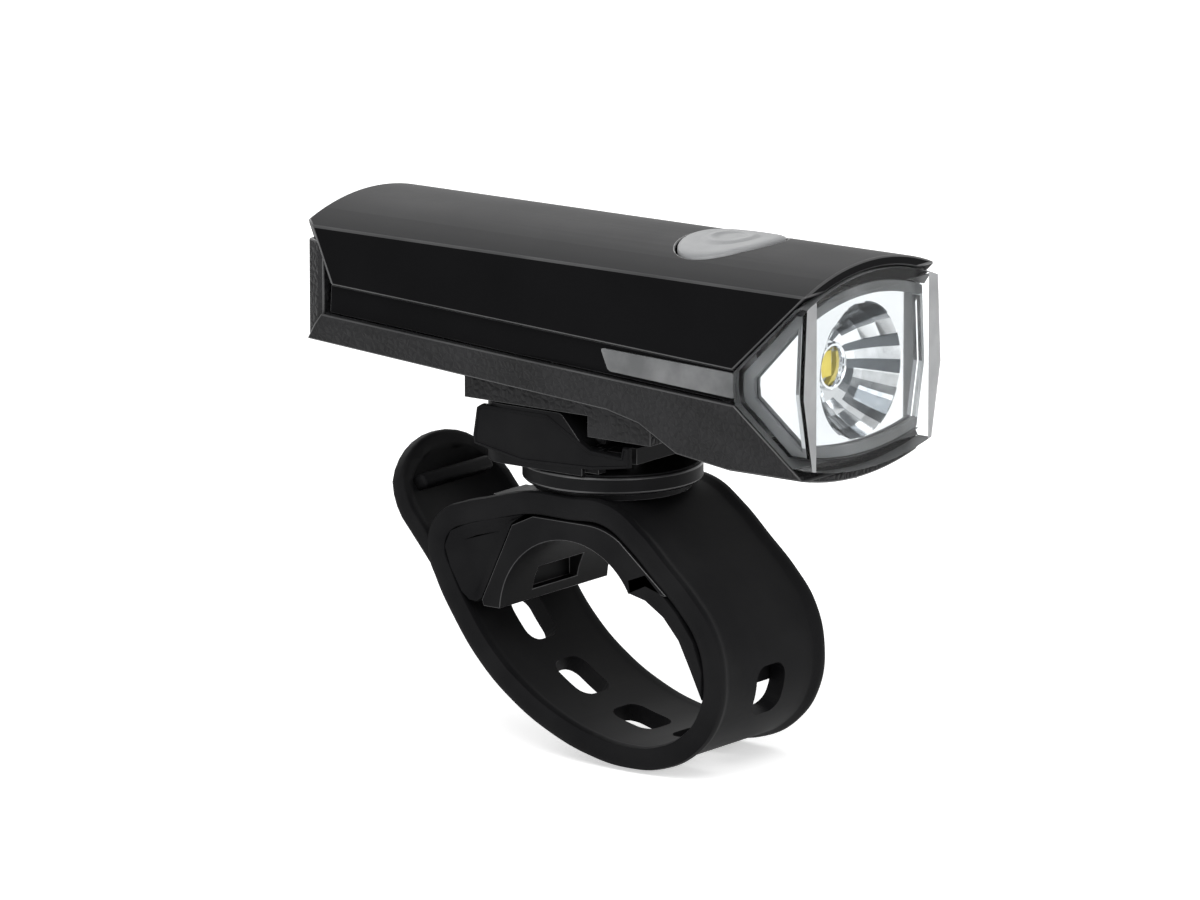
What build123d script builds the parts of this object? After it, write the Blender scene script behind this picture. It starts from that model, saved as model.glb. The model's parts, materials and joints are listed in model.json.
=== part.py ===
from build123d import *
import os

os.makedirs("parts", exist_ok=True)

# Millimetres. The origin is the handlebar's axis, X runs along the bar, Z is up, the beam points to -Y.

# Handlebar clamp
bar_diameter = 22.2
bar_clearance = 0.15
mount_width = 24.0
saddle_wall = 2.55
strap_plate = 2.8
strap_web = 2.4
strap_rim_height = 0.6
strap_rim_width = 1.6
strap_front_reach = 21.9
strap_hole_length = 7.0
strap_hole_width = 6.3
strap_hole_pitch = 11.1
strap_hole_count = 5
strap_first_hole = 40.5
hook_width = 7.2
hook_clearance = 0.3

# Swivel
swivel_y = 1.5
pivot_diameter = 4.0
pivot_radial_gap = 0.05
boss_diameter = 12.0
base_diameter = 21.0
base_height = 1.0
disc_diameter = 24.0
disc_height = 2.7
head_diameter = 7.5
head_height = 2.2
washer_diameter = 8.2
washer_height = 0.5
nut_across_flats = 7.0
nut_height = 2.0
fit_gap = 0.2

# Shoe and the lamp's sliding foot
shoe_width = 24.0
shoe_rear_y = 15.6
shoe_front_y = -2.3
shoe_height = 8.0
shoe_floor = 3.6
shoe_corner_r = 5.0
slide_gap = 0.2
foot_flange_width = 17.0
foot_flange_height = 2.3
foot_neck_width = 12.0
foot_front_y = -13.4
foot_rear_y = 17.0
stop_rear_y = -3.2
stop_bottom_z = 25.7
groove_rear_y = -6.0
groove_front_y = -9.4
groove_depth = 1.6

# Latch tongue
tongue_width = 19.0
catch_width = 8.0
tongue_height = 1.2
tongue_front_y = -9.4
latch_pin_diameter = 1.2
catch_height = 2.9

# Lamp casing
lamp_length = 82.0
lamp_rear_y = 42.0
top_edge_z = 49.2
crown_rise = 2.8
top_half_width = 14.6
belt_half_width = 15.4
belt_z = 36.0
bottom_half_width = 13.1
bottom_z = 24.5
belly_drop = 1.6
casing_wall = 1.4
casing_gap = 0.2
band_inset = 0.9
lens_wall = 1.6
lens_stand = 0.4
lens_gap = 0.3

# Side view of the casing, each as distance back from the front or forward from the rear
cover_rear_slope = 3.6
cover_side_rear = 7.5
cover_side_front = 10.8
band_rear = 4.1
band_front = 4.7
wing_setback = 11.1
shell_rear_height = 3.7
shell_mid_y = -7.9
shell_mid_z = 30.3
step_end_y = -18.5
step_end_z = 25.6
belly_rear_y = -30.0
belly_rear_z = 24.0

# Inside the lamp
seal_thickness = 0.6
seal_width = 1.5
plate_thickness = 0.7
bowl_radius = 9.0
bowl_depth = 6.6
bowl_wall = 0.8
bowl_facets = 20
beam_z = 37.0
led_hole_radius = 2.6
led_board_size = 17.0
led_board_thickness = 1.2
led_size = 3.4
led_height = 0.9
spreader_thickness = 3.0
cell_length = 46.0
cell_width = 23.0
cell_height = 6.0
cell_rear_y = 31.5
cell_z = 35.0
board_thickness = 1.0
board_width = 23.0
board_z = 41.2
board_rear_y = 37.4
board_front_y = -21.0
switch_size = 4.0
switch_height = 2.4
button_y = -18.0
button_length = 12.0
button_width = 18.0
button_gap = 0.3
button_boss_diameter = 7.0
button_travel = 0.6
plunger_diameter = 3.0
socket_width = 7.6
socket_height = 2.6
socket_length = 5.6
flap_width = 12.0
flap_thickness = 1.2
flap_pin_diameter = 1.0

# Levels worked out from the sizes above
bore_r = bar_diameter / 2 + bar_clearance
saddle_top = bore_r + saddle_wall
plate_top = saddle_top + strap_plate
base_top = plate_top + base_height
disc_top = base_top + disc_height
shoe_top = disc_top + shoe_height
floor_top = disc_top + shoe_floor
lamp_front_y = lamp_rear_y - lamp_length
crown_z = top_edge_z + crown_rise
swivel_plane = Plane.XY.offset(saddle_top)


def write(builder, name):
    builder.part.label = name
    export_step(builder.part, f"parts/{name}.step")
    print(f"{name}: {builder.part.volume:.1f} mm3")


def on_line(y, start, end):
    share = (y - start[0]) / (end[0] - start[0])
    return start[1] + share * (end[1] - start[1])


# Strap: an inner path round the bar, thickened outwards, with raised rims
strap_path = [
    (5.8, saddle_top),
    (-6.7, saddle_top),
    (-strap_front_reach, 1.0),
    (-strap_front_reach, -bore_r),
    (-8.9, -bore_r - 5.45),
    (bore_r + 1.35, -6.6),
    (bore_r + 8.0, 3.2),
]
strap_radii = [10.0, 11.0, 9.5, 15.0, 14.0]
rim_path = [(-11.3, saddle_top - 3.9)] + strap_path[2:]
tab_path = [(bore_r + 5.2, -1.2), (25.2, 10.2), (28.9, 19.0)]


def band_sketch(points, radii, thickness):
    with BuildSketch(Plane.YZ) as sketch:
        with BuildLine():
            FilletPolyline(*points, radius=radii)
            offset(amount=thickness, side=Side.RIGHT)
        make_face()
    return sketch.sketch


with BuildLine(Plane.YZ) as strap_line:
    FilletPolyline(*strap_path, radius=strap_radii)
strap_wire = strap_line.wires()[0]

saddle_clearance = 0.2
leaf = [
    (13.2, -5.2),
    (14.2 + saddle_clearance, 1.0),
    (9.2 + saddle_clearance, 12.2),
    (20.6, 11.8),
    (22.9, 10.4),
    (22.9, 6.5),
    (17.6, -2.4),
]

with BuildPart() as strap:
    extrude(band_sketch(strap_path, strap_radii, strap_web), amount=mount_width / 2, both=True)
    rim_thickness = strap_web + strap_rim_height
    for side in (-1, 1):
        rim_x = side * (mount_width - strap_rim_width) / 2
        rim = band_sketch(rim_path, strap_radii[1:], rim_thickness).moved(Location((rim_x, 0, 0)))
        extrude(rim, amount=strap_rim_width / 2, both=True)
    with BuildSketch(Plane.YZ):
        with BuildLine():
            Polyline(*leaf, close=True)
        make_face()
    extrude(amount=mount_width / 2, both=True)
    # The plate over the saddle that the bearing ring sits on
    with BuildSketch(Plane.XY.offset(saddle_top)):
        with Locations((0, -0.3)):
            Rectangle(mount_width, 12.4)
    extrude(amount=strap_plate)
    with Locations((0, swivel_y, saddle_top)):
        Cylinder(boss_diameter / 2 + fit_gap, 3 * strap_plate, mode=Mode.SUBTRACT)
    # Fitting holes through the band
    for index in range(strap_hole_count):
        where = strap_wire.position_at(strap_first_hole + index * strap_hole_pitch, PositionMode.LENGTH)
        along = strap_wire.tangent_at(strap_first_hole + index * strap_hole_pitch, PositionMode.LENGTH)
        outward = along.cross(Vector(1, 0, 0))
        with BuildSketch(Plane(origin=where, x_dir=along, z_dir=outward)):
            RectangleRounded(strap_hole_length, strap_hole_width, 1.4)
        extrude(amount=6.0, both=True, mode=Mode.SUBTRACT)
    # The slot that drops over the saddle's hook
    with Locations((0, 13.6, 12.0)):
        Box(hook_width + 2 * hook_clearance, 11.6, 6.2, mode=Mode.SUBTRACT)

with BuildPart() as tab:
    extrude(band_sketch(tab_path, [8.0], strap_web), amount=mount_width / 2, both=True)
    with BuildSketch(Plane.XZ.offset(-40.0)):
        with BuildLine():
            half = mount_width / 2
            Polyline((half, 13.0), (half, -6.0), (-half, -6.0), (-half, 13.0))
            ThreePointArc((-half, 13.0), (0, 20.2), (half, 13.0))
        make_face()
    extrude(amount=40.0, mode=Mode.INTERSECT)

with BuildPart() as strap_whole:
    add(strap.part)
    add(tab.part)
write(strap_whole, "strap")

# Saddle: an arch over the bar with a tapering front leg, a short rear leg, a boss and a hook
saddle_outline = [
    (5.8, saddle_top),
    (-6.5, saddle_top),
    (-16.0, 6.0),
    (-15.6, 5.9),
    (-12.6, 6.8),
    (0.0, 0.6),
    (13.9, 0.6),
    (14.2, 1.4),
    (9.2, 12.2),
]
with BuildPart() as saddle:
    with BuildSketch(Plane.YZ):
        with BuildLine():
            Polyline(*saddle_outline, close=True)
        make_face()
    extrude(amount=mount_width / 2, both=True)
    with BuildSketch(Plane.YZ):
        Circle(bore_r)
    extrude(amount=mount_width, both=True, mode=Mode.SUBTRACT)
    # The front leg follows the strap's inner side
    extrude(band_sketch(strap_path, strap_radii, 5.0), amount=mount_width, both=True, mode=Mode.SUBTRACT)
    with BuildSketch(swivel_plane):
        with Locations((0, swivel_y)):
            Circle(boss_diameter / 2)
    extrude(amount=strap_plate)
    # The hook that the strap's slot drops over
    with Locations((0, 13.4, 10.6)):
        Box(hook_width, 10.4, 2.4)
    with Locations((0, 17.7, 12.4)):
        Box(hook_width, 1.8, 2.6)
    # Nut pocket, screw hole and the cored pocket in the rear leg
    with BuildSketch(Plane.XY):
        with Locations((0, swivel_y)):
            RegularPolygon(nut_across_flats / 2 + fit_gap, 6, major_radius=False)
    extrude(amount=bore_r + 0.35 + nut_height, mode=Mode.SUBTRACT)
    with Locations((0, swivel_y, saddle_top)):
        Cylinder(pivot_diameter / 2 + pivot_radial_gap, 4 * strap_plate, mode=Mode.SUBTRACT)
    with Locations((0, 10.2, 3.6)):
        Box(10.0, 4.4, 3.2, mode=Mode.SUBTRACT)
write(saddle, "saddle")

with BuildPart() as swivel_base:
    with BuildSketch(Plane.XY.offset(plate_top)):
        with Locations((0, swivel_y)):
            Circle(base_diameter / 2)
            Circle(pivot_diameter / 2 + pivot_radial_gap, mode=Mode.SUBTRACT)
    extrude(amount=base_height)
write(swivel_base, "swivel_base")

washer_z = floor_top - head_height - 2 * washer_height - 0.4
with BuildPart() as pivot_screw:
    with BuildSketch(Plane.XY.offset(bore_r + 0.4)):
        with Locations((0, swivel_y)):
            Circle(pivot_diameter / 2)
    extrude(amount=washer_z + washer_height - bore_r - 0.4)
    with BuildSketch(Plane.XY.offset(washer_z + washer_height)):
        with Locations((0, swivel_y)):
            Circle(head_diameter / 2)
    extrude(amount=head_height)
    with BuildSketch(Plane.XY.offset(washer_z + washer_height + head_height)):
        with Locations((0, swivel_y)):
            RegularPolygon(1.5, 6)
    extrude(amount=-1.2, mode=Mode.SUBTRACT)
write(pivot_screw, "pivot_screw")

with BuildPart() as pivot_washer:
    with BuildSketch(Plane.XY.offset(washer_z)):
        with Locations((0, swivel_y)):
            Circle(washer_diameter / 2)
            Circle(pivot_diameter / 2 + pivot_radial_gap, mode=Mode.SUBTRACT)
    extrude(amount=washer_height)
write(pivot_washer, "pivot_washer")

with BuildPart() as pivot_nut:
    with BuildSketch(Plane.XY.offset(bore_r + 0.35)):
        with Locations((0, swivel_y)):
            RegularPolygon(nut_across_flats / 2, 6, major_radius=False)
            Circle(pivot_diameter / 2, mode=Mode.SUBTRACT)
    extrude(amount=nut_height)
write(pivot_nut, "pivot_nut")

# Turntable: a disc under the shoe, held by two flush screws from below
disc_screw_x = 8.4
disc_screw_r = 1.1
disc_head_r = 1.9
with BuildPart() as swivel_disc:
    with BuildSketch(Plane.XY.offset(base_top)):
        with Locations((0, swivel_y)):
            Circle(disc_diameter / 2)
            Circle(pivot_diameter / 2 + pivot_radial_gap, mode=Mode.SUBTRACT)
    extrude(amount=disc_height)
    chamfer(swivel_disc.edges().filter_by(GeomType.CIRCLE).group_by(SortBy.RADIUS)[-1], 0.4)
    with BuildSketch(Plane.XY.offset(base_top)):
        with Locations((-disc_screw_x, swivel_y), (disc_screw_x, swivel_y)):
            Circle(disc_head_r + 0.1)
    extrude(amount=1.4, mode=Mode.SUBTRACT)
    with BuildSketch(Plane.XY.offset(base_top)):
        with Locations((-disc_screw_x, swivel_y), (disc_screw_x, swivel_y)):
            Circle(disc_screw_r)
    extrude(amount=disc_height, mode=Mode.SUBTRACT)
write(swivel_disc, "swivel_disc")

disc_screw_length = 5.0
with BuildPart() as disc_screws:
    with BuildSketch(Plane.XY.offset(base_top + 0.3)):
        with Locations((-disc_screw_x, swivel_y), (disc_screw_x, swivel_y)):
            Circle(disc_head_r)
    extrude(amount=1.1)
    with BuildSketch(Plane.XY.offset(base_top + 0.3)):
        with Locations((-disc_screw_x, swivel_y), (disc_screw_x, swivel_y)):
            Circle(disc_screw_r)
    extrude(amount=disc_screw_length)
write(disc_screws, "disc_screws")

# Shoe: a block with a T-slot along the beam, rounded at the rear
flange_slot_z = floor_top
flange_slot_height = foot_flange_height + 2 * slide_gap
shoe_length = shoe_rear_y - shoe_front_y
hinge_z = disc_top + 2.7
with BuildPart() as bracket_shoe:
    with BuildSketch(Plane.YZ):
        with BuildLine():
            FilletPolyline(
                (shoe_rear_y, disc_top),
                (shoe_rear_y, shoe_top),
                (shoe_front_y + 3.4, shoe_top),
                (shoe_front_y, floor_top + 0.6),
                (shoe_front_y, disc_top),
                radius=1.4,
            )
            Line((shoe_front_y, disc_top), (shoe_rear_y, disc_top))
        make_face()
    extrude(amount=shoe_width / 2, both=True)
    with BuildSketch(Plane.XY.offset(disc_top)):
        with Locations((0, shoe_rear_y - shoe_length)):
            RectangleRounded(shoe_width, 2 * shoe_length, shoe_corner_r)
    extrude(amount=shoe_height, mode=Mode.INTERSECT)
    with BuildSketch(Plane.XZ.offset(-shoe_rear_y + 1.6)):
        with Locations((0, flange_slot_z + flange_slot_height / 2)):
            Rectangle(foot_flange_width + 2 * slide_gap, flange_slot_height)
        with Locations((0, shoe_top)):
            Rectangle(foot_neck_width + 2 * slide_gap, shoe_height)
    extrude(amount=shoe_length, mode=Mode.SUBTRACT)
    with BuildSketch(Plane.XY.offset(disc_top)):
        with Locations((0, swivel_y)):
            Circle(washer_diameter / 2 + fit_gap)
    extrude(amount=shoe_floor, mode=Mode.SUBTRACT)
    with BuildSketch(Plane.XY.offset(disc_top)):
        with Locations((-disc_screw_x, swivel_y), (disc_screw_x, swivel_y)):
            Circle(disc_screw_r)
    extrude(amount=disc_screw_length - disc_height + 0.4, mode=Mode.SUBTRACT)
    # Two ears in front carry the tongue's pin
    for side in (-1, 1):
        with Locations((side * (tongue_width / 2 + 1.0), shoe_front_y - 1.0, disc_top + 2.0)):
            Box(1.6, 2.4, 3.2)
    with BuildSketch(Plane.YZ):
        with Locations((shoe_front_y - 1.1, hinge_z)):
            Circle(latch_pin_diameter / 2 + pivot_radial_gap)
    extrude(amount=shoe_width, both=True, mode=Mode.SUBTRACT)
write(bracket_shoe, "bracket_shoe")

hinge_y = shoe_front_y - 1.1
catch_y = -6.9
with BuildPart() as latch_tongue:
    with BuildSketch(Plane.YZ):
        with Locations((hinge_y, hinge_z)):
            Circle(0.9)
        with Locations(((hinge_y + tongue_front_y) / 2, hinge_z)):
            Rectangle(hinge_y - tongue_front_y, tongue_height)
        with Locations((tongue_front_y + 0.5, hinge_z + 0.4)):
            Rectangle(1.0, 2.2)
        with Locations((hinge_y, hinge_z)):
            Circle(latch_pin_diameter / 2, mode=Mode.SUBTRACT)
    extrude(amount=tongue_width / 2, both=True)
    with Locations((0, catch_y, hinge_z + catch_height / 2)):
        Box(catch_width, 1.2, catch_height + tongue_height)
write(latch_tongue, "latch_tongue")

with BuildPart() as latch_pin:
    with BuildSketch(Plane.YZ):
        with Locations((hinge_y, hinge_z)):
            Circle(latch_pin_diameter / 2)
    extrude(amount=tongue_width / 2 + 1.8, both=True)
write(latch_pin, "latch_pin")


# Lamp casing. One cross-section runs the whole length, and side views cut it into its pieces.
# A lip lowers the crown and raises the belly, and leaves the two flanks where they are.
def section(inset, lip=0.0):
    top_z = top_edge_z - lip
    low_z = bottom_z + lip
    top_x = on_line(top_z, (top_edge_z, top_half_width), (belt_z, belt_half_width))
    low_x = on_line(low_z, (bottom_z, bottom_half_width), (belt_z, belt_half_width))
    with BuildSketch(Plane.XZ.offset(-lamp_rear_y + inset)) as sketch:
        with BuildLine():
            ThreePointArc((-top_x, top_z), (0, crown_z - lip), (top_x, top_z))
            Polyline((top_x, top_z), (belt_half_width, belt_z), (low_x, low_z))
            ThreePointArc((low_x, low_z), (0, low_z - belly_drop), (-low_x, low_z))
            Polyline((-low_x, low_z), (-belt_half_width, belt_z), (-top_x, top_z))
        make_face()
        if inset:
            offset(amount=-inset, kind=Kind.INTERSECTION)
    return sketch.sketch


def side_view(points):
    with BuildSketch(Plane.YZ) as sketch:
        with BuildLine():
            Polyline(*points, close=True)
        make_face()
    return sketch.sketch


cover_rear_y = lamp_rear_y - cover_rear_slope
wing_y = lamp_front_y + wing_setback
cover_low_rear = (cover_rear_y, top_edge_z - cover_side_rear)
cover_low_front = (wing_y, top_edge_z - cover_side_front)
shell_top_rear = (cover_rear_y, cover_low_rear[1] - band_rear)
shell_top_front = (wing_y, cover_low_front[1] - band_front)
shell_bottom_rear = (lamp_rear_y - 1.0, shell_top_rear[1] - shell_rear_height)
shell_mid = (shell_mid_y, shell_mid_z)
step_end = (step_end_y, step_end_z)
belly_rear = (belly_rear_y, belly_rear_z)
shell_front_y = lamp_front_y + 1.4
shell_front = (shell_front_y, bottom_z)
above = crown_z + 5.0

cover_view = [
    (lamp_rear_y, above),
    (lamp_rear_y, top_edge_z),
    cover_low_rear,
    cover_low_front,
    (lamp_front_y, top_edge_z),
    (lamp_front_y, above),
]
lower_view = [
    shell_top_rear,
    shell_bottom_rear,
    shell_mid,
    (shell_mid_y - 5.0, shell_mid_z - 1.2),
    step_end,
    belly_rear,
    (shell_front_y, bottom_z - belly_drop),
    shell_front,
    shell_top_front,
]
# The space between the two casings, from the rear waist to the front wedge
wedge_view = [
    (cover_low_rear[0], cover_low_rear[1] - casing_gap),
    (shell_top_rear[0], shell_top_rear[1] + casing_gap),
    (shell_top_front[0], shell_top_front[1] + casing_gap),
    (cover_low_front[0], cover_low_front[1] - casing_gap),
]

half_w = button_width / 2
half_l = button_length / 2


def button_oval(height, margin):
    with BuildSketch(Plane.XY.offset(height)) as sketch:
        with BuildLine():
            ThreePointArc((-half_w, button_y), (0, button_y + half_l), (half_w, button_y))
            ThreePointArc((half_w, button_y), (0, button_y - half_l), (-half_w, button_y))
        make_face()
        if margin:
            offset(amount=margin)
    return sketch.sketch


case_screw_r = 1.0
case_head_r = 1.9
case_head_height = 1.0
case_boss_r = 2.0
shell_boss_r = case_boss_r + 0.4
rear_screw_y = lamp_rear_y - cover_rear_slope - casing_wall - shell_boss_r + 0.3
case_screw_places = [(-8.6, rear_screw_y), (8.6, rear_screw_y), (-9.5, -24.0), (9.5, -24.0)]
foot_screw_ys = (9.5, 3.0)


def underside(y):
    if y > shell_mid[0]:
        return on_line(y, shell_bottom_rear, shell_mid)
    return on_line(y, step_end, belly_rear)


# Top cover: rear slope, sides and crown one wall thick, open below and in front
cover_hollow = [
    (cover_low_rear[0] - casing_wall + cover_rear_slope, top_edge_z),
    (cover_low_rear[0] - casing_wall, cover_low_rear[1]),
    (cover_low_rear[0] - casing_wall, bottom_z),
    (lamp_front_y - 5.0, bottom_z),
    (lamp_front_y - 5.0, above),
    (cover_low_rear[0] - casing_wall + cover_rear_slope, above),
]
with BuildPart() as cover_space:
    extrude(section(casing_wall), amount=lamp_length + 10.0)
    extrude(side_view(cover_hollow), amount=belt_half_width, both=True, mode=Mode.INTERSECT)

with BuildPart() as top_cover:
    extrude(section(0), amount=lamp_length)
    extrude(side_view(cover_view), amount=2 * belt_half_width, both=True, mode=Mode.INTERSECT)
    add(cover_space.part, mode=Mode.SUBTRACT)
    # Bosses for the case screws
    with BuildSketch(Plane.XY.offset(board_z + board_thickness + 0.3)):
        with Locations(*case_screw_places):
            Circle(case_boss_r)
    extrude(amount=crown_z - casing_wall / 2 - 1.2 - board_z - board_thickness - 0.3)
    with BuildSketch(Plane.XY.offset(board_z)):
        with Locations(*case_screw_places):
            Circle(case_screw_r)
    extrude(amount=5.0, mode=Mode.SUBTRACT)
    extrude(button_oval(crown_z - 6.0, button_gap), amount=12.0, mode=Mode.SUBTRACT)
write(top_cover, "top_cover")

# Bottom shell: the deep front holds the bowl, the shallow rear holds the cell
shell_hollow = [
    (cover_rear_y - casing_wall, above),
    (cover_rear_y - casing_wall, shell_bottom_rear[1] + casing_wall),
    (shell_mid_y, shell_mid_z + casing_wall),
    (shell_mid_y - 5.0, shell_mid_z - 1.2 + casing_wall),
    (step_end_y, step_end_z + casing_wall),
    (belly_rear_y, belly_rear_z + casing_wall),
    (lamp_front_y - 5.0, bottom_z - belly_drop),
    (lamp_front_y - 5.0, above),
]
with BuildPart() as shell_space:
    extrude(section(casing_wall), amount=lamp_length + 10.0)
    extrude(side_view(shell_hollow), amount=belt_half_width, both=True, mode=Mode.INTERSECT)

with BuildPart() as bottom_shell:
    extrude(section(0), amount=lamp_length)
    extrude(side_view(lower_view), amount=2 * belt_half_width, both=True, mode=Mode.INTERSECT)
    add(shell_space.part, mode=Mode.SUBTRACT)
    for x, y in case_screw_places:
        with BuildSketch(Plane.XY.offset(underside(y) + casing_wall / 2)):
            with Locations((x, y)):
                Circle(shell_boss_r)
        extrude(amount=2.4)
        with BuildSketch(Plane.XY.offset(underside(y) - 1.0)):
            with Locations((x, y)):
                Circle(case_head_r + 0.1)
        extrude(amount=2.2, mode=Mode.SUBTRACT)
        with BuildSketch(Plane.XY.offset(underside(y) - 1.0)):
            with Locations((x, y)):
                Circle(case_screw_r)
        extrude(amount=8.0, mode=Mode.SUBTRACT)
    for y in foot_screw_ys:
        with Locations((0, y, underside(y))):
            Cylinder(case_screw_r, 2 * (casing_wall - 0.2), mode=Mode.SUBTRACT)
write(bottom_shell, "bottom_shell")

with BuildPart() as case_screws:
    for x, y in case_screw_places:
        with BuildSketch(Plane.XY.offset(underside(y) + 0.2)):
            with Locations((x, y)):
                Circle(case_head_r)
        extrude(amount=case_head_height)
        with BuildSketch(Plane.XY.offset(underside(y) + 0.2)):
            with Locations((x, y)):
                Circle(case_screw_r)
        extrude(amount=board_z + 4.6 - underside(y))
write(case_screws, "case_screws")

# Chassis: the inset band that shows between the casings, with the port and the flap's lugs at the rear
flap_z = (cover_low_rear[1] + shell_top_rear[1]) / 2
chassis_rear_y = cover_rear_y - band_inset
flap_pin_x = flap_width / 2 + 0.7
flap_pin_y = chassis_rear_y + 0.8
lug_height = 0.8
waist_height = band_rear - 2 * casing_gap
chassis_hollow = [
    (chassis_rear_y - casing_wall, above),
    (chassis_rear_y - casing_wall, bottom_z),
    (lamp_front_y - 5.0, bottom_z),
    (lamp_front_y - 5.0, above),
]
with BuildPart() as chassis_space:
    extrude(section(band_inset + casing_wall - 0.6), amount=lamp_length + 10.0)
    extrude(side_view(chassis_hollow), amount=belt_half_width, both=True, mode=Mode.INTERSECT)

socket_z = board_z - socket_height / 2
with BuildPart() as chassis:
    extrude(section(band_inset), amount=lamp_length)
    extrude(side_view(wedge_view), amount=2 * belt_half_width, both=True, mode=Mode.INTERSECT)
    with Locations((0, cover_rear_y + lamp_length / 2 - band_inset, flap_z)):
        Box(4 * belt_half_width, lamp_length, 40.0, mode=Mode.SUBTRACT)
    add(chassis_space.part, mode=Mode.SUBTRACT)
    with Locations((0, chassis_rear_y, socket_z)):
        Box(socket_width + 2 * fit_gap, 8.0, socket_height + 2 * fit_gap, mode=Mode.SUBTRACT)
    for side in (-1, 1):
        lug_z = flap_z + side * (waist_height - lug_height) / 2
        with Locations((flap_pin_x, flap_pin_y, lug_z)):
            Cylinder(0.85, lug_height)
        with Locations((flap_pin_x, flap_pin_y - 0.45, lug_z)):
            Box(1.7, 0.9, lug_height)
    with Locations((flap_pin_x, flap_pin_y, flap_z)):
        Cylinder(flap_pin_diameter / 2 + pivot_radial_gap, 2 * band_rear, mode=Mode.SUBTRACT)
write(chassis, "chassis")

flap_height = waist_height - 0.4
knuckle_height = waist_height - 2 * lug_height - 0.3
with BuildPart() as usb_cover:
    with Locations((0, chassis_rear_y + flap_thickness / 2 + 0.05, flap_z)):
        Box(flap_width - 0.8, flap_thickness, flap_height)
    fillet(usb_cover.edges().filter_by(Axis.Y), 0.8)
    with Locations((flap_pin_x - 0.7, flap_pin_y + 0.1, flap_z)):
        Box(1.6, 1.0, knuckle_height)
    with Locations((flap_pin_x, flap_pin_y, flap_z)):
        Cylinder(0.75, knuckle_height)
        Cylinder(flap_pin_diameter / 2, knuckle_height, mode=Mode.SUBTRACT)
write(usb_cover, "usb_cover")

with BuildPart() as flap_pin:
    with Locations((flap_pin_x, flap_pin_y, flap_z)):
        Cylinder(flap_pin_diameter / 2, waist_height - 0.1)
write(flap_pin, "flap_pin")

# Front lens: a clear cap that fills the wedge and runs back along the band as two arms
lens_front_y = lamp_front_y - lens_stand
lens_lip = casing_wall + casing_gap
lens_top_z = top_edge_z - lens_lip
lens_bottom_z = bottom_z + lens_lip
cover_slope_y = lamp_front_y + (top_edge_z - lens_top_z) * wing_setback / cover_side_front
shell_slope_y = on_line(lens_bottom_z, (bottom_z, lamp_front_y + 1.4), (shell_top_front[1], wing_y))
lens_view = [
    (wing_y - 0.2, cover_low_front[1] - casing_gap),
    (cover_slope_y - lens_gap, lens_top_z),
    (cover_slope_y - 2 * lens_gap, lens_top_z),
    (cover_slope_y - 2 * lens_gap, above),
    (lens_front_y, above),
    (lens_front_y, bottom_z - belly_drop),
    (shell_slope_y - lens_gap, bottom_z - belly_drop),
    (shell_slope_y - lens_gap, lens_bottom_z),
    (wing_y - 0.2, shell_top_front[1] + casing_gap),
]
arm_rear_y = -7.3
arm_half_height = 1.3
band_front_z = (cover_low_front[1] + shell_top_front[1]) / 2
arm_rear_z = on_line(arm_rear_y, (cover_rear_y, flap_z), (wing_y, band_front_z))
arm_view = [
    (arm_rear_y, arm_rear_z + arm_half_height),
    (arm_rear_y - 1.2, arm_rear_z - arm_half_height),
    (wing_y - 1.0, band_front_z - arm_half_height),
    (wing_y - 1.0, band_front_z + arm_half_height),
]


def lamp_slice(view, inset, lip=0.0):
    with BuildPart() as piece:
        extrude(section(inset, lip), amount=lamp_length + lens_stand + inset)
        extrude(side_view(view), amount=2 * belt_half_width, both=True, mode=Mode.INTERSECT)
    return piece.part


lens_inner_view = [
    (lamp_rear_y, above),
    (lamp_rear_y, bottom_z),
    (lens_front_y + lens_wall, bottom_z),
    (lens_front_y + lens_wall, above),
]
with BuildPart() as front_lens:
    add(lamp_slice(lens_view, 0, lens_lip))
    add(lamp_slice(lens_inner_view, lens_wall, lens_lip), mode=Mode.SUBTRACT)
    with BuildPart(mode=Mode.PRIVATE) as arms:
        add(lamp_slice(arm_view, 0.3))
        add(lamp_slice(arm_view, band_inset), mode=Mode.SUBTRACT)
    add(arms.part)
write(front_lens, "front_lens")

# Seal: a grey frame behind the lens, round the front window and round the window on each side
seal_front_y = lens_front_y + lens_wall + fit_gap
seal_inset = lens_wall + fit_gap
inner_inset = seal_inset + seal_thickness + 0.1
seal_rear_y = seal_front_y + seal_thickness
seal_tip_y = wing_y - 2.5 * lens_gap
seal_view = [
    (seal_tip_y, cover_low_front[1] - casing_gap - lens_gap),
    (seal_rear_y, lens_top_z - 3 * lens_gap),
    (seal_rear_y, above),
    (seal_front_y, above),
    (seal_front_y, bottom_z - belly_drop),
    (seal_rear_y, bottom_z - belly_drop),
    (seal_rear_y, lens_bottom_z - lens_gap),
    (seal_tip_y, shell_top_front[1] + casing_gap + lens_gap),
]
behind_seal = [
    (lamp_rear_y, above),
    (lamp_rear_y, bottom_z - belly_drop),
    (seal_rear_y, bottom_z - belly_drop),
    (seal_rear_y, above),
]
window_tip_y = seal_tip_y - 1.2 * seal_width
window_tip_height = 1.3
side_window = [
    (window_tip_y, band_front_z + window_tip_height),
    (seal_rear_y, lens_top_z - 2 * seal_width),
    (seal_rear_y, lens_bottom_z + 1.5 * seal_width),
    (window_tip_y, band_front_z - window_tip_height),
]
with BuildPart() as lens_seal:
    add(lamp_slice(seal_view, seal_inset, lens_lip))
    add(lamp_slice(behind_seal, seal_inset + seal_thickness, lens_lip), mode=Mode.SUBTRACT)
    extrude(side_view(side_window), amount=2 * belt_half_width, both=True, mode=Mode.SUBTRACT)
    front_window = section(seal_inset + seal_thickness, lens_lip + seal_width - seal_thickness)
    extrude(front_window, amount=lamp_length + lens_stand, mode=Mode.SUBTRACT)
write(lens_seal, "lens_seal")

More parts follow.
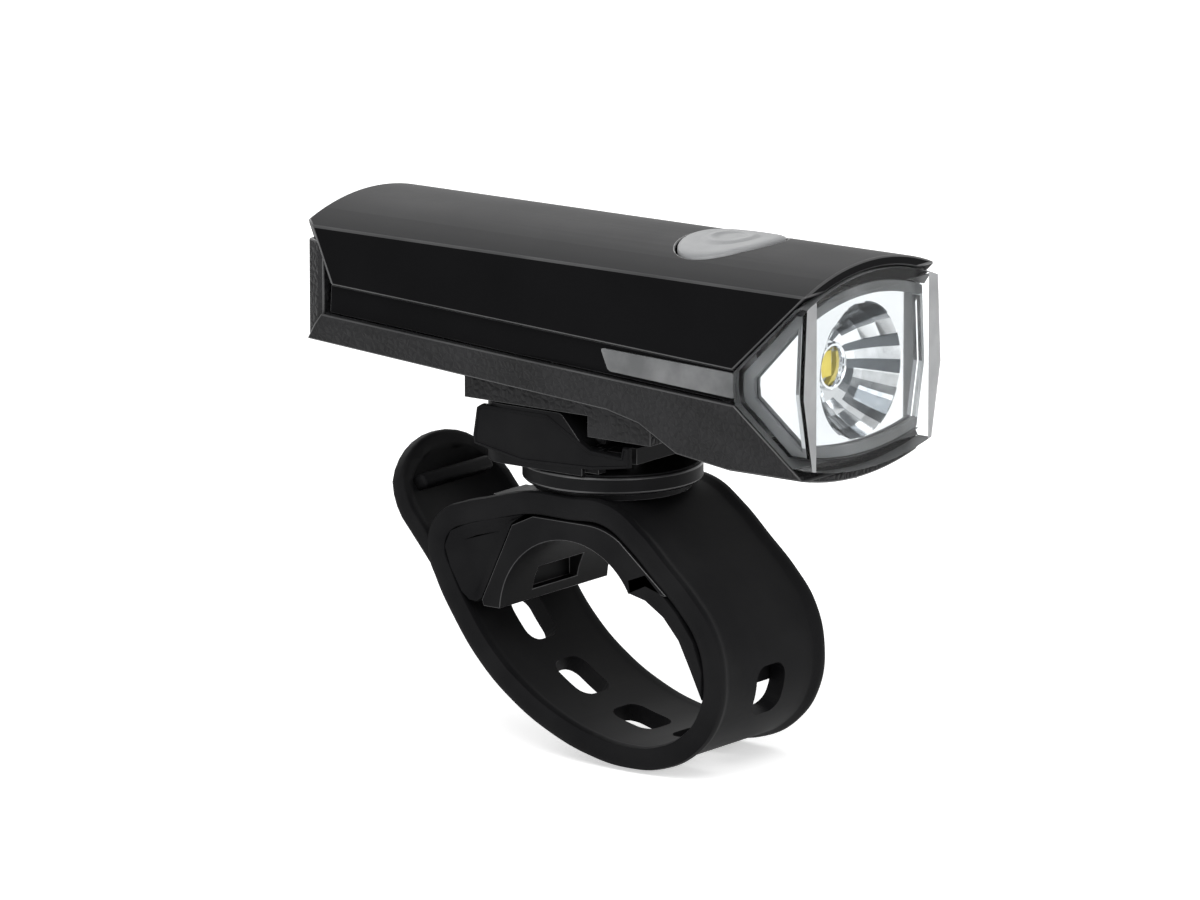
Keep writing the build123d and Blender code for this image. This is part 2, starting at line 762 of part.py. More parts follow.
# Reflector: a bowl of flat facets in a front plate, with a silvered wing along each side window
plate_y = seal_rear_y + 0.1
plate_rear_y = plate_y + plate_thickness
plate_view = [
    (plate_rear_y, above),
    (plate_y, above),
    (plate_y, bottom_z - belly_drop),
    (plate_rear_y, bottom_z - belly_drop),
]
wing_view = [
    (window_tip_y + 1.0, band_front_z + window_tip_height + 0.5),
    (plate_y, lens_top_z - inner_inset - 0.1),
    (plate_y, lens_bottom_z + inner_inset + 0.1),
    (window_tip_y + 1.0, band_front_z - window_tip_height - 0.5),
]
behind_plate = [
    (lamp_rear_y, above),
    (lamp_rear_y, bottom_z - belly_drop),
    (plate_rear_y, bottom_z - belly_drop),
    (plate_rear_y, above),
]
bowl_base_y = plate_y + bowl_depth
bowl_stations = (0.0, 0.3, 0.62, 0.86, 1.0)


def bowl_form(extra):
    stations = []
    for share in bowl_stations:
        radius = led_hole_radius + (bowl_radius - led_hole_radius) * (1 - share) ** 0.5 + extra
        with BuildSketch(Plane.XZ.offset(-plate_y - share * bowl_depth)) as station:
            with Locations((0, beam_z)):
                RegularPolygon(radius, bowl_facets, rotation=90 / bowl_facets)
        stations.append(station.sketch)
    with BuildPart() as form:
        loft(stations, ruled=True)
    return form.part


with BuildPart() as reflector:
    add(lamp_slice(plate_view, inner_inset, lens_lip))
    add(lamp_slice(wing_view, inner_inset, lens_lip))
    add(lamp_slice(behind_plate, inner_inset + plate_thickness, lens_lip), mode=Mode.SUBTRACT)
    add(bowl_form(bowl_wall))
    add(bowl_form(0), mode=Mode.SUBTRACT)
    with Locations((0, bowl_base_y, beam_z)):
        Cylinder(led_hole_radius, 2.0, rotation=(90, 0, 0), mode=Mode.SUBTRACT)
write(reflector, "reflector")

led_board_y = bowl_base_y + 0.1
with BuildPart() as led_board:
    with BuildSketch(Plane.XZ.offset(-led_board_y)):
        with Locations((0, beam_z)):
            RectangleRounded(led_board_size, led_board_size, 2.0)
    extrude(amount=-led_board_thickness)
write(led_board, "led_board")

with BuildPart() as led_emitter:
    with BuildSketch(Plane.XZ.offset(-led_board_y)):
        with Locations((0, beam_z)):
            Rectangle(led_size, led_size)
    extrude(amount=led_height)
write(led_emitter, "led_emitter")

spreader_y = led_board_y + led_board_thickness
with BuildPart() as heat_spreader:
    with BuildSketch(Plane.XZ.offset(-spreader_y)):
        with Locations((0, beam_z)):
            RectangleRounded(led_board_size + 5.0, led_board_size, 2.0)
    extrude(amount=-spreader_thickness)
    with BuildSketch(Plane.XZ.offset(-spreader_y - spreader_thickness)):
        with GridLocations(4.0, 0, 5, 1):
            with Locations((0, beam_z)):
                Rectangle(2.4, led_board_size + 4.0)
    extrude(amount=1.8, mode=Mode.SUBTRACT)
write(heat_spreader, "heat_spreader")

with BuildPart() as battery_cell:
    with Locations((0, cell_rear_y - cell_length / 2, cell_z + cell_height / 2)):
        Box(cell_width, cell_length, cell_height)
    fillet(battery_cell.edges().filter_by(Axis.Y), 2.0)
write(battery_cell, "battery_cell")


def hollow_floor(y):
    return on_line(y, shell_hollow[1], shell_hollow[2])


pad_view = [
    (cell_rear_y - 4.0, cell_z),
    (cell_rear_y - 4.0, hollow_floor(cell_rear_y - 4.0) + 0.1),
    (shell_mid_y + 2.0, hollow_floor(shell_mid_y + 2.0) + 0.1),
    (shell_mid_y + 2.0, cell_z),
]
with BuildPart() as battery_pad:
    extrude(side_view(pad_view), amount=cell_width / 2 - 2.4, both=True)
write(battery_pad, "battery_pad")

board_length = board_rear_y - 2.0 - board_front_y
with BuildPart() as control_board:
    with BuildSketch(Plane.XY.offset(board_z)):
        with Locations((0, board_front_y + board_length / 2)):
            Rectangle(board_width, board_length)
        with Locations(*case_screw_places):
            Circle(case_screw_r + 0.3, mode=Mode.SUBTRACT)
    extrude(amount=board_thickness)
write(control_board, "control_board")

board_top = board_z + board_thickness
with BuildPart() as tact_switch:
    with Locations((0, button_y, board_top + switch_height / 2)):
        Box(switch_size, switch_size, switch_height)
    with Locations((0, button_y, board_top + switch_height + 0.3)):
        Cylinder(1.1, 0.6)
write(tact_switch, "tact_switch")

with BuildPart() as charge_led:
    with Locations((0, button_y + 5.0, board_top + 0.4)):
        Box(3.0, 1.5, 0.8)
write(charge_led, "charge_led")

with BuildPart() as usb_socket:
    with Locations((0, chassis_rear_y - 0.3 - socket_length / 2, socket_z)):
        Box(socket_width, socket_length, socket_height)
    fillet(usb_socket.edges().filter_by(Axis.Y), 0.6)
    with Locations((0, chassis_rear_y - 0.3, socket_z)):
        Box(socket_width - 0.8, 2 * (socket_length - 0.8), socket_height - 0.8, mode=Mode.SUBTRACT)
    with Locations((0, chassis_rear_y - 0.3 - socket_length / 2 - 0.4, socket_z)):
        Box(socket_width - 3.0, socket_length - 1.0, 0.5)
write(usb_socket, "usb_socket")

# Button: follows the crown, with a round boss on top and a plunger above the switch
button_floor_z = crown_z - casing_wall - 0.9
with BuildPart() as power_button:
    extrude(button_oval(button_floor_z, 0), amount=8.0)
    extrude(section(-0.3), amount=lamp_length, mode=Mode.INTERSECT)
    with BuildSketch(Plane.XY.offset(crown_z - 1.0)):
        with Locations((0, button_y)):
            Circle(button_boss_diameter / 2)
    extrude(amount=1.6)
    with BuildSketch(Plane.XY.offset(board_top + switch_height + 0.6 + button_travel + 0.1)):
        with Locations((0, button_y)):
            Circle(plunger_diameter / 2)
    extrude(amount=button_floor_z + 0.5 - board_top - switch_height - 0.6 - button_travel - 0.1)
write(power_button, "power_button")

# Sliding foot under the lamp: a T-rail in the shoe, and a stop block in front that the catch holds
flange_z = floor_top + slide_gap
foot_view = [
    (foot_rear_y, shoe_top + slide_gap),
    (foot_rear_y, underside(foot_rear_y)),
    (shell_mid_y, shell_mid_z),
    (shell_mid_y - 5.0, shell_mid_z - 1.2),
    (foot_front_y, on_line(foot_front_y, (shell_mid_y - 5.0, shell_mid_z - 1.2), step_end)),
    (foot_front_y, stop_bottom_z),
    (stop_rear_y, stop_bottom_z),
    (stop_rear_y, shoe_top + slide_gap),
]
rail_rear_y = shoe_rear_y - 1.6 - 0.3
rail_length = rail_rear_y - stop_rear_y
with BuildPart() as slide_foot:
    extrude(side_view(foot_view), amount=shoe_width / 2, both=True)
    with BuildSketch(Plane.XY.offset(flange_z)):
        with Locations((0, rail_rear_y - rail_length / 2 - 0.2)):
            Rectangle(foot_flange_width, rail_length + 0.4)
    extrude(amount=foot_flange_height)
    with BuildSketch(Plane.XY.offset(flange_z)):
        with Locations((0, rail_rear_y - rail_length / 2 - 0.2)):
            Rectangle(foot_neck_width, rail_length + 0.4)
    extrude(amount=shoe_top + 1.0 - flange_z)
    groove_length = groove_rear_y - groove_front_y
    with Locations((0, (groove_rear_y + groove_front_y) / 2, stop_bottom_z)):
        Box(catch_width + 1.5, groove_length, 2 * groove_depth, mode=Mode.SUBTRACT)
    for y in foot_screw_ys:
        with BuildSketch(Plane.XY.offset(flange_z)):
            with Locations((0, y)):
                Circle(case_head_r + 0.1)
        extrude(amount=1.6, mode=Mode.SUBTRACT)
        with BuildSketch(Plane.XY.offset(flange_z)):
            with Locations((0, y)):
                Circle(case_screw_r)
        extrude(amount=12.0, mode=Mode.SUBTRACT)
write(slide_foot, "slide_foot")

with BuildPart() as foot_screws:
    for y in foot_screw_ys:
        with BuildSketch(Plane.XY.offset(flange_z + 0.4)):
            with Locations((0, y)):
                Circle(case_head_r)
        extrude(amount=1.2)
        with BuildSketch(Plane.XY.offset(flange_z + 0.4)):
            with Locations((0, y)):
                Circle(case_screw_r)
        extrude(amount=underside(y) + casing_wall - 0.3 - flange_z - 0.4)
write(foot_screws, "foot_screws")
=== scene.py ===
import bpy
import bmesh
import json
from math import cos, pi, radians, sin
from mathutils import Matrix, Vector


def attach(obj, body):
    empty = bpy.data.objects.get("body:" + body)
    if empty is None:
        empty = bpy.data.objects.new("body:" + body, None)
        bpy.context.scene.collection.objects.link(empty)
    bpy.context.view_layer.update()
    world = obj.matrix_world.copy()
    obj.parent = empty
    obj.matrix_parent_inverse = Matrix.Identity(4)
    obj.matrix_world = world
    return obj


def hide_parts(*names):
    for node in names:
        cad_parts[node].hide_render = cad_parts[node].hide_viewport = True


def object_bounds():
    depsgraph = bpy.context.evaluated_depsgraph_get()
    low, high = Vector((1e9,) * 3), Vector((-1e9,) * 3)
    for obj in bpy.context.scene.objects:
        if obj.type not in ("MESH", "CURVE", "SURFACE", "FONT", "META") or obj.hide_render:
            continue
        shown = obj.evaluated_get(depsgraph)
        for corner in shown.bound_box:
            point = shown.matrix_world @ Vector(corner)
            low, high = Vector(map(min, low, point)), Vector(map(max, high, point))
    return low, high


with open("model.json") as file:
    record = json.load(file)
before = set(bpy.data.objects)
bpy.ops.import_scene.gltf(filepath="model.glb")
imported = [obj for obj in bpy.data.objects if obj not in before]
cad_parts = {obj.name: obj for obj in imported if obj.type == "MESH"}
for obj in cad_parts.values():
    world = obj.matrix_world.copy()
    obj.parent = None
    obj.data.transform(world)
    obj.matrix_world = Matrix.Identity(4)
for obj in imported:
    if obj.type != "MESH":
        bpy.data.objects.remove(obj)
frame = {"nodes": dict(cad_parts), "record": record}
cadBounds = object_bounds()
nodes = frame["nodes"]
mm = 0.001


# Materials

def newMaterial(name):
    material = bpy.data.materials.new(name)
    material.use_nodes = True
    tree = material.node_tree
    shader = tree.nodes["Principled BSDF"]
    return material, tree, shader


def objectNoise(tree, scale, detail=4.0, roughness=0.55):
    coords = tree.nodes.new("ShaderNodeTexCoord")
    noise = tree.nodes.new("ShaderNodeTexNoise")
    noise.inputs["Scale"].default_value = scale
    noise.inputs["Detail"].default_value = detail
    noise.inputs["Roughness"].default_value = roughness
    tree.links.new(coords.outputs["Object"], noise.inputs["Vector"])
    return noise


def tintBy(tree, shader, noise, dark, light, low=0.35, high=0.65):
    ramp = tree.nodes.new("ShaderNodeValToRGB")
    ramp.color_ramp.elements[0].position = low
    ramp.color_ramp.elements[0].color = (*dark, 1.0)
    ramp.color_ramp.elements[1].position = high
    ramp.color_ramp.elements[1].color = (*light, 1.0)
    tree.links.new(noise.outputs["Fac"], ramp.inputs["Fac"])
    tree.links.new(ramp.outputs["Color"], shader.inputs["Base Color"])


def roughBy(tree, shader, noise, low, high):
    spread = tree.nodes.new("ShaderNodeMapRange")
    spread.inputs["To Min"].default_value = low
    spread.inputs["To Max"].default_value = high
    tree.links.new(noise.outputs["Fac"], spread.inputs["Value"])
    tree.links.new(spread.outputs["Result"], shader.inputs["Roughness"])


def bumpBy(tree, shader, height, strength, distance):
    bump = tree.nodes.new("ShaderNodeBump")
    bump.inputs["Strength"].default_value = strength
    bump.inputs["Distance"].default_value = distance
    tree.links.new(height, bump.inputs["Height"])
    tree.links.new(bump.outputs["Normal"], shader.inputs["Normal"])


def moulded(name, dark, light, rough, grain, strength, distance, specular=0.5):
    material, tree, shader = newMaterial(name)
    noise = objectNoise(tree, grain)
    broad = objectNoise(tree, 90.0, 3.0)
    tintBy(tree, shader, broad, dark, light)
    roughBy(tree, shader, broad, rough[0], rough[1])
    bumpBy(tree, shader, noise.outputs["Fac"], strength, distance)
    shader.inputs["Specular IOR Level"].default_value = specular
    return material


# The crown is painted a lighter grey than the deep black flanks, a painted sheen where the up-facing faces
# catch the light; the two are told apart by the face's own direction
crown = {"flankBelow": 0.55, "crownAbove": 0.9, "paintedSheen": (0.024, 0.024, 0.025, 1.0)}


def crownSheenPainted(name, dark, light, rough, grain, strength, distance, specular):
    material, tree, shader = newMaterial(name)
    noise = objectNoise(tree, grain)
    broad = objectNoise(tree, 90.0, 3.0)
    coords = tree.nodes.new("ShaderNodeTexCoord")
    parts = tree.nodes.new("ShaderNodeSeparateXYZ")
    tree.links.new(coords.outputs["Normal"], parts.inputs[0])
    facing = tree.nodes.new("ShaderNodeMapRange")
    facing.inputs["From Min"].default_value = crown["flankBelow"]
    facing.inputs["From Max"].default_value = crown["crownAbove"]
    tree.links.new(parts.outputs["Z"], facing.inputs["Value"])
    ramp = tree.nodes.new("ShaderNodeValToRGB")
    ramp.color_ramp.elements[0].color = (*dark, 1.0)
    ramp.color_ramp.elements[1].color = (*light, 1.0)
    tree.links.new(broad.outputs["Fac"], ramp.inputs["Fac"])
    mix = tree.nodes.new("ShaderNodeMix")
    mix.data_type = "RGBA"
    flankColour, paintedSheenColour, mixed = mix.inputs[6], mix.inputs[7], mix.outputs[2]  # the colour sockets
    tree.links.new(facing.outputs["Result"], mix.inputs["Factor"])
    tree.links.new(ramp.outputs["Color"], flankColour)
    # painted sheen: faces that point up get the lighter crown colour
    paintedSheenColour.default_value = crown["paintedSheen"]
    tree.links.new(mixed, shader.inputs["Base Color"])
    roughBy(tree, shader, broad, rough[0], rough[1])
    bumpBy(tree, shader, noise.outputs["Fac"], strength, distance)
    shader.inputs["Specular IOR Level"].default_value = specular
    return material


def grained(name, dark, light, rough, cell, strength, distance, specular=0.5):
    material, tree, shader = newMaterial(name)
    shader.inputs["Specular IOR Level"].default_value = specular
    coords = tree.nodes.new("ShaderNodeTexCoord")
    pebble = tree.nodes.new("ShaderNodeTexVoronoi")
    pebble.feature = "DISTANCE_TO_EDGE"
    pebble.inputs["Scale"].default_value = cell
    tree.links.new(coords.outputs["Object"], pebble.inputs["Vector"])
    broad = objectNoise(tree, 120.0, 3.0)
    tintBy(tree, shader, broad, dark, light)
    roughBy(tree, shader, broad, rough[0], rough[1])
    bumpBy(tree, shader, pebble.outputs["Distance"], strength, distance)
    return material


def metal(name, colour, rough, grain, strength):
    material, tree, shader = newMaterial(name)
    noise = objectNoise(tree, grain, 3.0)
    tintBy(tree, shader, noise, tuple(0.94 * c for c in colour), colour)
    roughBy(tree, shader, noise, rough[0], rough[1])
    bumpBy(tree, shader, noise.outputs["Fac"], strength, 0.00002)
    shader.inputs["Metallic"].default_value = 1.0
    return material


# The bowl: flat mirror facets round the beam, with painted reflections that make some facets dark and some
# bright, and plain silver outside it
bowl = {
    "beamZ": 37.0 * mm, "radius": 9.1 * mm, "facets": 30, "rings": 1.6, "ringShift": 37.7, "streak": 0.16,
    "darkBelow": 0.34, "brightAbove": 0.56,
    # painted reflections: the dark and bright tones that the facets are painted in
    "dark": (0.11, 0.12, 0.13, 1.0), "bright": (0.78, 0.79, 0.8, 1.0),
}


def paintedFacetReflections(name):
    material, tree, shader = newMaterial(name)
    coords = tree.nodes.new("ShaderNodeTexCoord")
    parts = tree.nodes.new("ShaderNodeSeparateXYZ")
    tree.links.new(coords.outputs["Object"], parts.inputs[0])

    def calc(operation, first, second=None):
        node = tree.nodes.new("ShaderNodeMath")
        node.operation = operation
        for socket, value in zip(node.inputs, (first, second)):
            if isinstance(value, (int, float)):
                socket.default_value = value
            elif value is not None:
                tree.links.new(value, socket)
        return node.outputs[0]

    rise = calc("SUBTRACT", parts.outputs["Z"], bowl["beamZ"])
    angle = calc("ARCTAN2", rise, parts.outputs["X"])
    petal = calc("FLOOR", calc("MULTIPLY", angle, bowl["facets"] / (2 * pi)))
    chance = tree.nodes.new("ShaderNodeTexWhiteNoise")
    chance.noise_dimensions = "1D"
    squares = calc("ADD", calc("POWER", rise, 2.0), calc("POWER", parts.outputs["X"], 2.0))
    across = calc("POWER", squares, 0.5)
    ring = calc("FLOOR", calc("MULTIPLY", across, bowl["rings"] / bowl["radius"]))
    tree.links.new(calc("ADD", petal, calc("MULTIPLY", ring, bowl["ringShift"])), chance.inputs["W"])
    outside = calc("GREATER_THAN", across, bowl["radius"])
    streak = objectNoise(tree, 420.0, 3.0)
    mixed = calc("ADD", chance.outputs["Value"], calc("MULTIPLY", streak.outputs["Fac"], bowl["streak"]))
    # painted reflection tone of each facet, plain silver outside the facets
    paintedReflectionTone = calc("MAXIMUM", mixed, outside)
    ramp = tree.nodes.new("ShaderNodeValToRGB")
    ramp.color_ramp.elements[0].position = bowl["darkBelow"]
    ramp.color_ramp.elements[0].color = bowl["dark"]
    ramp.color_ramp.elements[1].position = bowl["brightAbove"]
    ramp.color_ramp.elements[1].color = bowl["bright"]
    tree.links.new(paintedReflectionTone, ramp.inputs["Fac"])
    tree.links.new(ramp.outputs["Color"], shader.inputs["Base Color"])
    roughBy(tree, shader, streak, 0.05, 0.14)
    shader.inputs["Metallic"].default_value = 1.0
    return material


def clearPlastic(name):
    material, tree, shader = newMaterial(name)
    noise = objectNoise(tree, 60.0, 2.0)
    tintBy(tree, shader, noise, (0.9, 0.92, 0.93), (0.97, 0.98, 0.98))
    roughBy(tree, shader, noise, 0.01, 0.05)
    bumpBy(tree, shader, noise.outputs["Fac"], 0.04, 0.0001)
    shader.inputs["Transmission Weight"].default_value = 1.0
    shader.inputs["IOR"].default_value = 1.16
    return material


def milkySilicone(name, dark, light):
    material, tree, shader = newMaterial(name)
    noise = objectNoise(tree, 160.0, 4.0)
    tintBy(tree, shader, noise, dark, light)
    roughBy(tree, shader, noise, 0.42, 0.55)
    bumpBy(tree, shader, noise.outputs["Fac"], 0.12, 0.0001)
    shader.inputs["Subsurface Weight"].default_value = 0.35
    shader.inputs["Subsurface Radius"].default_value = (1.0, 1.0, 1.0)
    shader.inputs["Subsurface Scale"].default_value = 0.0015
    return material


# Pairs of a dark and a light tone that the black plastics vary between
coal = ((0.0035, 0.0035, 0.0038), (0.0055, 0.0055, 0.006))
soot = ((0.0045, 0.0045, 0.005), (0.0085, 0.0085, 0.009))
slate = ((0.008, 0.008, 0.0085), (0.015, 0.015, 0.016))
finishes = {
    # the cover's crown gets a painted sheen over the black
    "cover_gloss": crownSheenPainted("coverGloss", *coal, (0.34, 0.42), 900.0, 0.05, 0.00004, 0.02),
    "shell_textured": grained("shellGrain", *slate, (0.5, 0.62), 1000.0, 1.0, 0.0005, 0.16),
    "mount_plastic": moulded("mountBlack", *soot, (0.42, 0.54), 1500.0, 0.16, 0.00006, 0.05),
    "strap_silicone": moulded("strapSilicone", *soot, (0.5, 0.62), 700.0, 0.12, 0.00008, 0.05),
    "clear_lens": clearPlastic("clearLens"),
    "silvered": paintedFacetReflections("silvered"),
    "grey_silicone": milkySilicone("greySilicone", (0.2, 0.205, 0.21), (0.27, 0.275, 0.28)),
    "steel": metal("platedSteel", (0.55, 0.55, 0.57), (0.25, 0.4), 900.0, 0.2),
    "brass": metal("brass", (0.72, 0.56, 0.28), (0.28, 0.42), 900.0, 0.2),
    "alloy": metal("bareAlloy", (0.66, 0.67, 0.69), (0.3, 0.45), 700.0, 0.25),
    "cell_foil": metal("cellFoil", (0.6, 0.62, 0.65), (0.3, 0.5), 260.0, 0.4),
    "board_white": moulded("boardWhite", (0.7, 0.7, 0.68), (0.8, 0.8, 0.78), (0.3, 0.4),
                           700.0, 0.1, 0.00003),
    "board_green": moulded("boardGreen", (0.02, 0.12, 0.05), (0.03, 0.17, 0.07), (0.25, 0.35),
                           700.0, 0.1, 0.00003),
    "led_yellow": moulded("ledPhosphor", (0.75, 0.58, 0.06), (0.9, 0.74, 0.14), (0.35, 0.5),
                          1600.0, 0.2, 0.00004),
    "foam": grained("padFoam", (0.05, 0.05, 0.05), (0.09, 0.09, 0.09), (0.85, 0.95), 1400.0, 0.7, 0.0002),
    "flap_rubber": moulded("flapRubber", *soot, (0.5, 0.62), 800.0, 0.14, 0.00006, 0.2),
}

# Finishes of single parts of a piece, beside the record's own slots
smokedFinish = milkySilicone("smokedFrame", (0.075, 0.078, 0.08), (0.15, 0.153, 0.156))
paleRimFinish = milkySilicone("paleRim", (0.3, 0.3, 0.305), (0.42, 0.42, 0.425))
# painted reflection: grey for the lens's front corners, where the wing is seen edge-on
cornerRefractionPainted = milkySilicone("lensCornerPaintedRefraction", (0.26, 0.265, 0.27), (0.34, 0.345, 0.35))
clearFrame = milkySilicone("clearFrame", (0.42, 0.43, 0.44), (0.52, 0.53, 0.54))
# Painted highlight: the bevelled edges get a lighter dark grey that stands in for the thin light lines that
# edges catch
paintedEdgeHighlight = moulded("edgeHighlightPainted", (0.02, 0.02, 0.021), (0.042, 0.042, 0.043), (0.25, 0.34),
                     900.0, 0.05, 0.00003)
collarFinish = metal("collarSilver", (0.8, 0.81, 0.82), (0.06, 0.14), 400.0, 0.02)

slotOf = {row["node"]: row["material_slot"] for row in frame["record"]["subparts"]}
bodyOf = {}
for bodyName, members in frame["record"]["behaviour"]["bodies"].items():
    for member in members:
        bodyOf[member] = bodyName


def dress(piece, slotName):
    if piece.data.materials:
        piece.data.materials[0] = finishes[slotName]
    else:
        piece.data.materials.append(finishes[slotName])


for name, node in nodes.items():
    dress(node, slotOf[name])
print("finishes on", len(nodes), "nodes")


# Small steps that several pieces share

def splitAt(bm, place, across, clearOuter=False):
    bmesh.ops.bisect_plane(bm, geom=bm.verts[:] + bm.edges[:] + bm.faces[:], plane_co=place,
                           plane_no=across, clear_outer=clearOuter)


def drawOut(bm, faces, shift):
    made = bmesh.ops.extrude_face_region(bm, geom=faces)["geom"]
    moved = [g for g in made if isinstance(g, bmesh.types.BMVert)]
    bmesh.ops.translate(bm, verts=moved, vec=shift)


def closeOpenEdges(bm):
    bmesh.ops.holes_fill(bm, edges=[e for e in bm.edges if e.is_boundary])


def roundEdges(piece, width):
    bevel = piece.modifiers.new("edge", "BEVEL")
    bevel.width = width
    bevel.segments = 3
    bevel.limit_method = "ANGLE"
    bevel.angle_limit = radians(28)
    return bevel


def pieceFrom(bm, name, slotName, body, sharp=35.0):
    mesh = bpy.data.meshes.new(name)
    bmesh.ops.remove_doubles(bm, verts=bm.verts, dist=0.001 * mm)
    bmesh.ops.recalc_face_normals(bm, faces=bm.faces)
    bm.to_mesh(mesh)
    bm.free()
    mesh.shade_smooth()
    mesh.set_sharp_from_angle(angle=radians(sharp))
    piece = bpy.data.objects.new(name, mesh)
    bpy.context.scene.collection.objects.link(piece)
    dress(piece, slotName)
    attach(piece, body)
    return piece


def cutBy(piece, cutterForm, name):
    # takes the cutter's form out of the piece for good
    mesh = bpy.data.meshes.new(name)
    bmesh.ops.recalc_face_normals(cutterForm, faces=cutterForm.faces)
    cutterForm.to_mesh(mesh)
    cutterForm.free()
    cutter = bpy.data.objects.new(name, mesh)
    bpy.context.scene.collection.objects.link(cutter)
    cut = piece.modifiers.new("cut", "BOOLEAN")
    cut.operation = "DIFFERENCE"
    cut.solver = "EXACT"
    cut.object = cutter
    done = bpy.data.meshes.new_from_object(piece.evaluated_get(bpy.context.evaluated_depsgraph_get()))
    piece.modifiers.remove(cut)
    old = piece.data
    piece.data = done
    bpy.data.meshes.remove(old)
    bpy.data.objects.remove(cutter)
    bpy.data.meshes.remove(mesh)


def roundedBar(bm, size, corner, turn, place):
    # length, width and height in millimetres, with its length along Y before it is turned
    length, width, height = size
    made = bmesh.ops.create_cube(bm, size=1.0)["verts"]
    bmesh.ops.scale(bm, verts=made, vec=(width * mm, length * mm, height * mm))
    upright = [e for e in bm.edges if e.verts[0] in made and e.verts[1] in made
               and abs((e.verts[0].co - e.verts[1].co).z) > 0.5 * height * mm]
    bmesh.ops.transform(bm, verts=made, matrix=Matrix.Translation(place) @ turn)
    bmesh.ops.bevel(bm, geom=upright, offset=corner * mm, segments=5, profile=0.5,
                    affect="EDGES", material=-1)


# Softened copies: the moulded pieces get the small edge rounding that the real mouldings have

soft = {
    "merge": 0.002 * mm, "flat": 1.5, "sliver": 0.04 * mm, "sharpAbove": 35.0,
    "edgeWidths": {
        "top_cover": 0.25 * mm,
        "bottom_shell": 0.22 * mm,
        "chassis": 0.12 * mm,
        "saddle": 0.3 * mm,
        "swivel_disc": 0.15 * mm,
        "swivel_base": 0.12 * mm,
        "bracket_shoe": 0.35 * mm,
        "slide_foot": 0.3 * mm,
        "latch_tongue": 0.15 * mm,
        "usb_cover": 0.15 * mm,
        "front_lens": 0.03 * mm,
        "lens_seal": 0.1 * mm,
    },
    "unclamped": ("top_cover", "bottom_shell", "chassis"),  # their small edges would clamp every bevel
    # slots whose bevels get the painted edge highlight
    "paintedHighlightEdges": ("cover_gloss", "shell_textured", "mount_plastic"),
}
rearCorner = {"behind": 37.8 * mm, "outside": 13.9 * mm, "length": 3.0 * mm, "chamfer": 1.5 * mm}
lens = {"rear": -29.05 * mm, "corner": 12.6 * mm, "windowFront": -30.0 * mm, "facing": 0.8}


def chamferRear(bm):
    upright = []
    for edge in bm.edges:
        low, high = edge.verts[0].co, edge.verts[1].co
        behind = min(low.y, high.y) > rearCorner["behind"]
        outside = min(abs(low.x), abs(high.x)) > rearCorner["outside"]
        if behind and outside and abs(low.z - high.z) > rearCorner["length"]:
            upright.append(edge)
    bmesh.ops.bevel(bm, geom=upright, offset=rearCorner["chamfer"], segments=1, profile=0.5,
                    affect="EDGES", material=-1)


def trimLens(bm):
    splitAt(bm, (0, lens["rear"], 0), (0, 1, 0), clearOuter=True)
    closeOpenEdges(bm)


def tintLens(bm):
    # slot 0 is clear, 1 is the smoked rim and 2 is a grey strip at each front corner, a painted reflection
    # standing in for the lens wing seen edge-on
    for place in (-lens["corner"], lens["corner"]):
        splitAt(bm, (place, 0, 0), (1, 0, 0))
    for face in bm.faces:
        spot = face.calc_center_median()
        across, ahead = abs(face.normal.x), abs(face.normal.y)
        clear = across > lens["facing"] or (ahead > lens["facing"] and spot.y < lens["windowFront"])
        face.material_index = 0 if clear else 1
        # front faces beyond the corner get the painted reflection
        if face.normal.y < -lens["facing"] and abs(spot.x) > lens["corner"]:
            face.material_index = 2


def softened(node, width):
    mesh = nodes[node].data.copy()
    mesh.name = node + "_moulding"
    bm = bmesh.new()
    bm.from_mesh(mesh)
    bmesh.ops.remove_doubles(bm, verts=bm.verts, dist=soft["merge"])
    bmesh.ops.dissolve_limit(bm, angle_limit=radians(soft["flat"]), verts=bm.verts, edges=bm.edges)
    bmesh.ops.dissolve_degenerate(bm, dist=soft["sliver"], edges=bm.edges)
    if node in ("top_cover", "bottom_shell"):
        chamferRear(bm)
    if node == "front_lens":
        trimLens(bm)
    bmesh.ops.recalc_face_normals(bm, faces=bm.faces)
    if node == "front_lens":
        tintLens(bm)
    bm.to_mesh(mesh)
    bm.free()
    mesh.shade_smooth()
    mesh.set_sharp_from_angle(angle=radians(soft["sharpAbove"]))
    piece = bpy.data.objects.new(node + "_moulding", mesh)
    bpy.context.scene.collection.objects.link(piece)
    bevel = roundEdges(piece, width)
    bevel.use_clamp_overlap = node not in soft["unclamped"]
    evened = piece.modifiers.new("normals", "WEIGHTED_NORMAL")
    evened.keep_sharp = True
    dress(piece, slotOf[node])
    # the bevel's faces get the painted edge highlight
    if slotOf[node] in soft["paintedHighlightEdges"]:
        piece.data.materials.append(paintedEdgeHighlight)
        bevel.material = 1
    if node == "front_lens":
        piece.data.materials.append(smokedFinish)
        piece.data.materials.append(cornerRefractionPainted)
    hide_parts(node)
    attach(piece, bodyOf[node])
    return piece


mouldings = {name: softened(name, width) for name, width in soft["edgeWidths"].items()}
print("softened", len(mouldings), "mouldings")


# Strap: one moulded silicone band that runs over the saddle, round the front, under the bar
# and up the rear, with a bead along both edges. Points are (y, z) in millimetres on its inner side.

